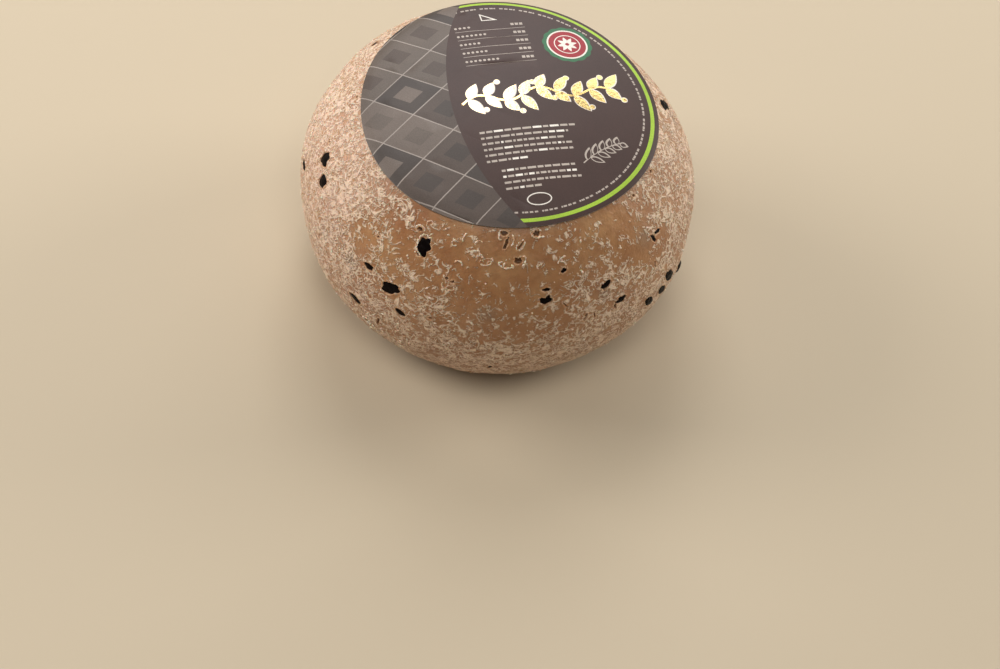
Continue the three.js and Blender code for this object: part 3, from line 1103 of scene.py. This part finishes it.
def arc(centre, radius, first, last, count):
    angles = np.radians(np.linspace(first, last, count))
    return [(centre[0] + radius * math.cos(a), centre[1] + radius * math.sin(a)) for a in angles]


def disc(centre, radius, count=24):
    return arc(centre, radius, 0, 360 * (count - 1) / count, count)


def oval(centre, half_width, half_height, count=40):
    unit = disc((0, 0), 1, count)
    return [(centre[0] + half_width * x, centre[1] + half_height * y) for x, y in unit]


def laid_at(x, y, turn, outline):
    """An outline drawn at the origin, turned and moved to its place."""
    cosine = math.cos(math.radians(turn))
    sine = math.sin(math.radians(turn))
    return [(x + a * cosine - b * sine, y + a * sine + b * cosine) for a, b in outline]


def bar(x, y, length, height, turn=0.0):
    """A bar that starts at a place and runs along a turn."""
    half = height / 2
    return laid_at(x, y, turn, [(0, -half), (length, -half), (length, half), (0, half)])


def leaf(x, y, length, width, turn, count=9):
    """A pointed leaf from its stalk to its tip."""
    shares = np.linspace(0, 1, count)
    half = width / 2 * np.sin(np.pi * shares**0.8) ** 0.9
    upper = [(length * s, h) for s, h in zip(shares, half)]
    lower = [(length * s, -h) for s, h in zip(shares[-2:0:-1], half[-2:0:-1])]
    return laid_at(x, y, turn, upper + lower)


def ribbon(points, width):
    """A line of one width through some points."""
    points = np.array(points)
    ahead = np.gradient(points, axis=0)
    ahead /= np.linalg.norm(ahead, axis=1)[:, None]
    side = np.stack([-ahead[:, 1], ahead[:, 0]], axis=1) * width / 2
    return [tuple(p) for p in points + side] + [tuple(p) for p in (points - side)[::-1]]


TRELLIS_PITCH = 11.5
TRELLIS_SLOPE = 38.0
TRELLIS_START = -44
TRELLIS_GAP = 0.28  # half of a pale line
TRELLIS_HEART = 0.45  # the inner lozenge over the outer one
TRELLIS_SHADES = ("grey_light", "grey_mid", "grey_dark", "grey_deep")


def trellis():
    """Lozenges in four greys with pale lines between, at the left of the sheet."""
    rise = TRELLIS_PITCH * math.tan(math.radians(TRELLIS_SLOPE))
    half_width = TRELLIS_PITCH - TRELLIS_GAP
    half_height = rise - TRELLIS_GAP
    shapes = []
    for column in range(-1, 4):
        for row in range(-5, 6):
            x = TRELLIS_START + column * TRELLIS_PITCH
            y = row * rise * 2 + (column % 2) * rise
            shade = (column * 3 + row * 5 + (column * row) % 3) % 4
            for size, step in ((1, 0), (TRELLIS_HEART, 1)):
                across = half_width * size
                up = half_height * size
                corners = [(x - across, y), (x, y - up), (x + across, y), (x, y + up)]
                shapes.append((TRELLIS_SHADES[(shade + step) % 4], corners, False))
    return shapes


GARLAND_START = -16
GARLAND_SPAN = 53
GARLAND_LEVEL = 2.6
GARLAND_WAVE = 2.2
GARLAND_WAVES = 2.5
GARLAND_ARCH = 8
GARLAND_PAIRS = 9
STEM_STATIONS = 46
STEM_WIDTH = 0.8
GILT_LENGTH = 7.8
GILT_WIDTH = 3.3
BERRY_RADIUS = 0.9
BERRY_PLACES = ((5.0, -5.2), (5.0, 5.4))  # from the stem: under it and over it, by turns


def garland():
    """Pairs of gilt leaves along a waving stem, each with a cream edge, and berries between."""
    shares = np.linspace(0, 1, STEM_STATIONS)
    wave = GARLAND_WAVE * np.sin(2 * np.pi * GARLAND_WAVES * shares)
    level = GARLAND_LEVEL + wave - GARLAND_ARCH * (shares - 0.5) ** 2
    stem = list(zip(GARLAND_START + GARLAND_SPAN * shares, level))
    edges = []
    gilt = [("foil", ribbon(stem, STEM_WIDTH), True)]
    for i in range(GARLAND_PAIRS):
        x, y = stem[2 + 5 * i]
        for side in (1, -1):
            turn = side * (58 - 4 * (i % 3))
            length = GILT_LENGTH - 0.8 * ((i + (side > 0)) % 3)
            edges.append(("cream", leaf(x, y, length + 0.5, GILT_WIDTH + 0.7, turn), True))
            gilt.append(("foil", leaf(x, y + 0.2 * side, length, GILT_WIDTH, turn), True))
        ahead, above = BERRY_PLACES[i % 2]
        berry = (x + ahead, y + above)
        edges.append(("cream", disc(berry, BERRY_RADIUS + 0.25, 16), True))
        gilt.append(("foil", disc(berry, BERRY_RADIUS, 16), True))
    return edges + gilt


STITCH_LENGTH = (0.7, 3.0)
STITCH_HEIGHT = 0.8
STITCH_GAP = 0.5
STITCH_ROW_STEP = 2.3
LAST_ROW = 0.45  # of the width
BRIGHT_STITCHES = 0.2  # share of stitches in the brighter cream


def stitch_rows(x, top, rows, width, draw):
    """Rows of short stitches of uneven length, the last row cut short."""
    shapes = []
    for row in range(rows):
        at = x
        end = x + width * (LAST_ROW if row == rows - 1 else between((0.86, 1.0), draw()))
        while at < end - 0.6:
            length = min(between(STITCH_LENGTH, draw()), end - at)
            ink = "cream" if draw() > 1 - BRIGHT_STITCHES else "cream_soft"
            shapes.append((ink, bar(at, top - row * STITCH_ROW_STEP, length, STITCH_HEIGHT), True))
            at += length + STITCH_GAP
    return shapes


RING_RADIUS = 44.2
RING_START = 118
RING_PITCH = 2.15
RING_STITCHES = 118


def stitched_ring():
    """A broken line inside the lime one: three short stitches and a dot, over and over."""
    shapes = []
    for i in range(RING_STITCHES):
        angle = RING_START - RING_PITCH * i
        x = RING_RADIUS * math.cos(math.radians(angle))
        y = RING_RADIUS * math.sin(math.radians(angle))
        mark = bar(x, y, 1.15, 0.62, angle - 90) if i % 4 else disc((x, y), 0.36, 8)
        shapes.append(("cream_soft", mark, True))
    return shapes


DOT_STEP = 1.5
DOT_RADIUS = 0.5
RULE_WIDTH = 0.16
BLOCK_SIZE = 1.1


def ruled_list(x, top, rows, row_step, width, draw):
    """Thin rules, each with a row of dots at its left and three blocks at its right."""
    shapes = []
    for row in range(rows):
        rule = top - row * row_step
        y = rule + row_step * 0.45
        shapes.append(("cream_soft", bar(x, rule, width, RULE_WIDTH), True))
        for at in np.arange(0, between((5, 12), draw()), DOT_STEP):
            shapes.append(("cream_soft", disc((x + 0.6 + at, y), DOT_RADIUS, 8), True))
        for number in (3, 2, 1):
            start = x + width - 0.1 - number * DOT_STEP
            shapes.append(("cream_soft", bar(start, y, BLOCK_SIZE, BLOCK_SIZE), True))
    return shapes


ROSETTE_RADIUS = 8.2
ROSETTE_SCALLOP = 0.45
ROSETTE_SCALLOPS = 14
ROSETTE_RINGS = (("cream", 7.1, 48), ("red", 6.5, 48), ("cream", 4.6, 40), ("red", 4.25, 40))
PETALS = 8


def rosette(centre):
    """A scalloped green rosette with cream rings and a star in its red heart."""
    scallops = []
    for angle in np.linspace(0, 2 * math.pi, 120, endpoint=False):
        radius = ROSETTE_RADIUS + ROSETTE_SCALLOP * abs(math.sin(ROSETTE_SCALLOPS / 2 * angle))
        scallops.append((centre[0] + radius * math.cos(angle), centre[1] + radius * math.sin(angle)))
    shapes = [("green", scallops, True)]
    for ink, radius, points in ROSETTE_RINGS:
        shapes.append((ink, disc(centre, radius, points), True))
    for petal in range(PETALS):
        shapes.append(("cream", leaf(*centre, 3.6, 1.5, 360 / PETALS * petal + 10, 7), True))
    shapes.append(("red", disc(centre, 0.7, 16), True))
    return shapes


SPRIG_LEAVES = 10
SPRIG_TURN = 22
SPRIG_SPREAD = 48


def sprig(x, y):
    """A herb sprig in thin cream line."""
    stem = [(x + 15 * s, y + 12.5 * s - 5 * s * s) for s in np.linspace(0, 1, 12)]
    shapes = [("cream_soft", ribbon(stem, 0.4), True)]
    for i in range(1, SPRIG_LEAVES + 1):
        side = 1 if i % 2 else -1
        turn = SPRIG_TURN + side * SPRIG_SPREAD
        at_x, at_y = stem[i]
        shapes.append(("cream_soft", leaf(at_x, at_y, 5.6 - 0.25 * i, 2.2, turn), True))
        inside = leaf(at_x + 0.35, at_y + 0.25 * side, 4.5 - 0.25 * i, 1.35, turn)
        shapes.append(("brown", inside, True))
    return shapes


FIELD_CENTRE = 70.0  # the brown field ends at the left in an arc about this place
FIELD_RADIUS = 89.5
FIELD_HALF_ARC = 34.0
LINE_RADII = (47.75, 46.45)


def print_shapes():
    """All of the print, from the ground up: an ink, an outline, and whether the field bounds it."""
    draw = make_draw(PRINT_SEED)
    arc_ends = (180 - FIELD_HALF_ARC, 180 + FIELD_HALF_ARC)
    edge = arc((FIELD_CENTRE, 0), FIELD_RADIUS, *arc_ends, 60)
    field = edge + [(FIELD_CENTRE, edge[-1][1]), (FIELD_CENTRE, edge[0][1])]
    shapes = [("grey_line", disc((0, 0), LABEL_RADIUS, RIM_POINTS), False)]
    shapes += trellis()
    field_number = len(shapes)
    shapes.append(("brown", field, False))
    shapes.append(("lime", disc((0, 0), LINE_RADII[0], 220), True))
    shapes.append(("brown", disc((0, 0), LINE_RADII[1], 220), True))
    shapes += stitched_ring()
    shapes += ruled_list(x=-11, top=33.5, rows=5, row_step=4.1, width=24, draw=draw)
    shapes += garland()
    shapes += stitch_rows(x=-13, top=-12.0, rows=6, width=32, draw=draw)
    shapes += stitch_rows(x=-9, top=-27.6, rows=4, width=27, draw=draw)
    shapes += rosette((25.5, 24.0))
    shapes += sprig(18.5, -27.5)
    shapes += [("cream", oval((1, -39.6), 4.2, 2.4), True), ("brown", oval((1, -39.6), 3.8, 2.0), True)]
    shapes.append(("cream", [(-1, 38.0), (4.5, 38.0), (-1, 41.6)], True))
    shapes.append(("brown", [(-0.6, 38.35), (3.1, 38.35), (-0.6, 40.8)], True))
    return shapes, field_number


def grain_group():
    """The fine stipple of offset print on uncoated paper, as a share around one half."""
    tree, start, end = shader_group("print_grain", {"Size": 0.35 * MM}, "Grain")
    stipple = noise(tree, object_place(tree), start.outputs["Size"])
    wire(tree, end, {0: ease(tree, stipple, 0.3, 0.7)})
    return tree


GRAIN = grain_group()
INKS = {
    "brown": "3f2a24",
    "lime": "a3c63c",
    "grey_line": "9c9189",
    "grey_light": "6c6058",
    "grey_mid": "62574f",
    "grey_dark": "534740",
    "grey_deep": "453c37",
    "cream": "e9e2d8",
    "cream_soft": "b5a99e",
    "red": "9c212d",
    "green": "2e6b45",
}


def ink_material(name, code):
    material, tree, shader = new_material("ink_" + name)
    grain = add_node(tree, "ShaderNodeGroup", {"node_tree": GRAIN})
    cloud = ease(tree, noise(tree, object_place(tree), 16 * MM, 3), 0.3, 0.7)
    deep = tuple(0.78 * part for part in colour(code)[:3]) + (1.0,)
    pale = tuple(min(1.0, 1.16 * part) for part in colour(code)[:3]) + (1.0,)
    share = calc(tree, "ADD", calc(tree, "MULTIPLY", grain, 0.6), calc(tree, "MULTIPLY", cloud, 0.4))
    finish = {
        "Base Color": blend(tree, share, deep, pale),
        "Roughness": 0.52,
        "Normal": bumps(tree, grain, 0.01, 0.5),
        "Specular IOR Level": 0.42,
    }
    wire(tree, shader, finish)
    return material


def foil_material():
    material, tree, shader = new_material("gold_foil")
    place = object_place(tree)
    wear = ease(tree, noise(tree, place, 0.8 * MM, 3, 0.6), 0.58, 0.72)
    crinkle = noise(tree, place, 1.6 * MM, 3, 0.8)
    finish = {
        "Base Color": blend(tree, wear, colour("f0cf8a"), colour("a5814c")),
        "Roughness": 0.24,
        "Metallic": 1.0,
        "Normal": bumps(tree, crinkle, 0.12, 0.9),
    }
    wire(tree, shader, finish)
    return material


SHEET_STEP = 3.0
EDGE_RINGS = (48.7, 47.9, 46.9, 45.6, 43.9)


def sheet_points():
    """Places spread over the flat sheet, closer near its curled edge."""
    places = []
    for radius in (*EDGE_RINGS, *np.arange(41.5, 1, -SHEET_STEP)):
        count = max(6, round(2 * math.pi * radius / SHEET_STEP))
        places += disc((0, 0), radius, count)
    return places + [(0.0, 0.0)]


def turned_print(outline):
    """An outline at the print's turn, anticlockwise, as the fill needs it."""
    x, y = np.array(laid_at(0, 0, PRINT_TURN, outline)).T
    way = 1 if np.sum(x * np.roll(y, -1) - y * np.roll(x, -1)) > 0 else -1
    return list(zip(x, y))[::way]


def top_ink(owned, shapes, field_number):
    """The ink that lies uppermost on a triangle, from the numbers of the shapes that hold it."""
    top = 0
    for number in sorted(owned):
        if field_number in owned or not shapes[number][2]:
            top = number
    return shapes[top][0]


def build_label():
    shapes, field_number = print_shapes()
    flat, faces = [], []
    for _, outline, _ in shapes:
        faces.append(list(range(len(flat), len(flat) + len(outline))))
        flat += turned_print(outline)
    flat += sheet_points()
    filled = delaunay_2d_cdt([Vector(point) for point in flat], [], faces, 0, 1e-5)
    places = [tuple(place) for place in filled[0]]
    triangles, owners = filled[2], filled[5]

    slots = {ink: number for number, ink in enumerate([*INKS, "foil", "paper"])}
    sheet = bmesh.new()
    upper = [sheet.verts.new(place) for place in laid_on_top(places, LABEL_THICKNESS)]
    lower = [sheet.verts.new(place) for place in laid_on_top(places, 0)]
    for triangle, owned in zip(triangles, owners):
        if 0 in owned:
            ink = top_ink(owned, shapes, field_number)
            sheet.faces.new([upper[i] for i in triangle]).material_index = slots[ink]
            sheet.faces.new([lower[i] for i in reversed(triangle)]).material_index = slots["paper"]
    bmesh.ops.delete(sheet, geom=[vert for vert in sheet.verts if not vert.link_faces], context="VERTS")
    rim = [edge for edge in sheet.edges if edge.is_boundary]
    for wall in bmesh.ops.bridge_loops(sheet, edges=rim)["faces"]:
        wall.material_index = slots["paper"]
    bmesh.ops.recalc_face_normals(sheet, faces=sheet.faces)
    mesh = bpy.data.meshes.new("label")
    sheet.to_mesh(mesh)
    sheet.free()
    for ink, code in INKS.items():
        mesh.materials.append(ink_material(ink, code))
    mesh.materials.append(foil_material())
    mesh.materials.append(ink_material("paper", PAPER_COLOUR))
    mesh.shade_smooth()
    mesh.set_sharp_from_angle(angle=math.radians(RIM_ANGLE))
    return mesh_object("label", mesh)


label = build_label()
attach(label, "root")
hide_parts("label")


# ---- Floor, light and camera ----
# A plain pale floor, a soft key from the back left as in a product studio, and weaker lights for
# the sides. The camera looks down on the front at the angle at which the cheese was photographed.
PICTURE = (1000, 669)
CHEESE_PIXEL = (497.95, 181.43)  # where the middle of the equator lies in the picture
CAMERA_ELEVATION = 50.06
CAMERA_DISTANCE = 0.971
CAMERA_ROLL = -9.43
FOCAL_PIXELS = 2864
SENSOR_WIDTH = 36.0
FLOOR_SPAN = 8.0
WORLD_STRENGTH = 0.14


def floor_material():
    material, tree, shader = new_material("pale_floor")
    wire(tree, shader, {"Base Color": colour("c4b69f"), "Roughness": 0.8, "Specular IOR Level": 0.2})
    return material


half = FLOOR_SPAN / 2
corners = [(-half, -half, 0), (half, -half, 0), (half, half, 0), (-half, half, 0)]
floor_mesh = bpy.data.meshes.new("floor")
floor_mesh.from_pydata(corners, [], [(0, 1, 2, 3)])
floor_mesh.materials.append(floor_material())
floor = mesh_object("floor", floor_mesh)


WARM = (1, 0.96, 0.9)
NEUTRAL = (1, 1, 1)
# Each is a name, place, size, power and tint.
SOFTBOXES = [
    ("key", (-0.97, 0.1, 0.54), 0.6, 8.3, (1, 0.96, 0.92)),
    ("overhead_back", (-0.17, 0.62, 0.78), 0.45, 3.8, NEUTRAL),
    ("back_low", (0.15, 1.0, 0.5), 0.7, 3.4, NEUTRAL),
    ("back_right", (1.0, 0.52, 0.45), 0.5, 7.2, WARM),
    ("front_top", (0.0, -0.5, 1.1), 0.5, 4.3, WARM),
]


def softbox(name, place, size, power, tint):
    """A square area light that faces the cheese."""
    light = bpy.data.lights.new(name, "AREA")
    light.size = size
    light.energy = power
    light.color = tint
    box = bpy.data.objects.new(name, light)
    box.location = place
    aim = Vector((0, 0, EQUATOR_HEIGHT * MM)) - Vector(place)
    box.rotation_euler = aim.to_track_quat("-Z", "Y").to_euler()
    bpy.context.scene.collection.objects.link(box)


for box in SOFTBOXES:
    softbox(*box)

world = bpy.data.worlds.new("studio")
world.use_nodes = True
backdrop = world.node_tree.nodes["Background"]
wire(world.node_tree, backdrop, {"Color": (1, 1, 1, 1), "Strength": WORLD_STRENGTH})
bpy.context.scene.world = world
bpy.context.scene.view_settings.view_transform = "Standard"

elevation = math.radians(CAMERA_ELEVATION)
roll = math.radians(CAMERA_ROLL)
middle = Vector((0, 0, EQUATOR_HEIGHT * MM))
forward = Vector((0, math.cos(elevation), -math.sin(elevation)))
level_up = Vector((1, 0, 0)).cross(forward)
right = math.cos(roll) * Vector((1, 0, 0)) - math.sin(roll) * level_up
facing = Matrix((right, right.cross(forward), -forward)).transposed()
offset = Vector((CHEESE_PIXEL[0] - PICTURE[0] / 2, PICTURE[1] / 2 - CHEESE_PIXEL[1], -FOCAL_PIXELS))
turn_to_pixel = offset.normalized().rotation_difference(Vector((0, 0, -1))).to_matrix()

lens = bpy.data.cameras.new("camera")
lens.sensor_width = SENSOR_WIDTH
lens.lens = FOCAL_PIXELS / PICTURE[0] * SENSOR_WIDTH
lens.clip_start = 0.01
camera = bpy.data.objects.new("camera", lens)
stand = Matrix.Translation(middle - forward * CAMERA_DISTANCE)
camera.matrix_world = stand @ (facing @ turn_to_pixel).to_4x4()
bpy.context.scene.collection.objects.link(camera)
bpy.context.scene.camera = camera
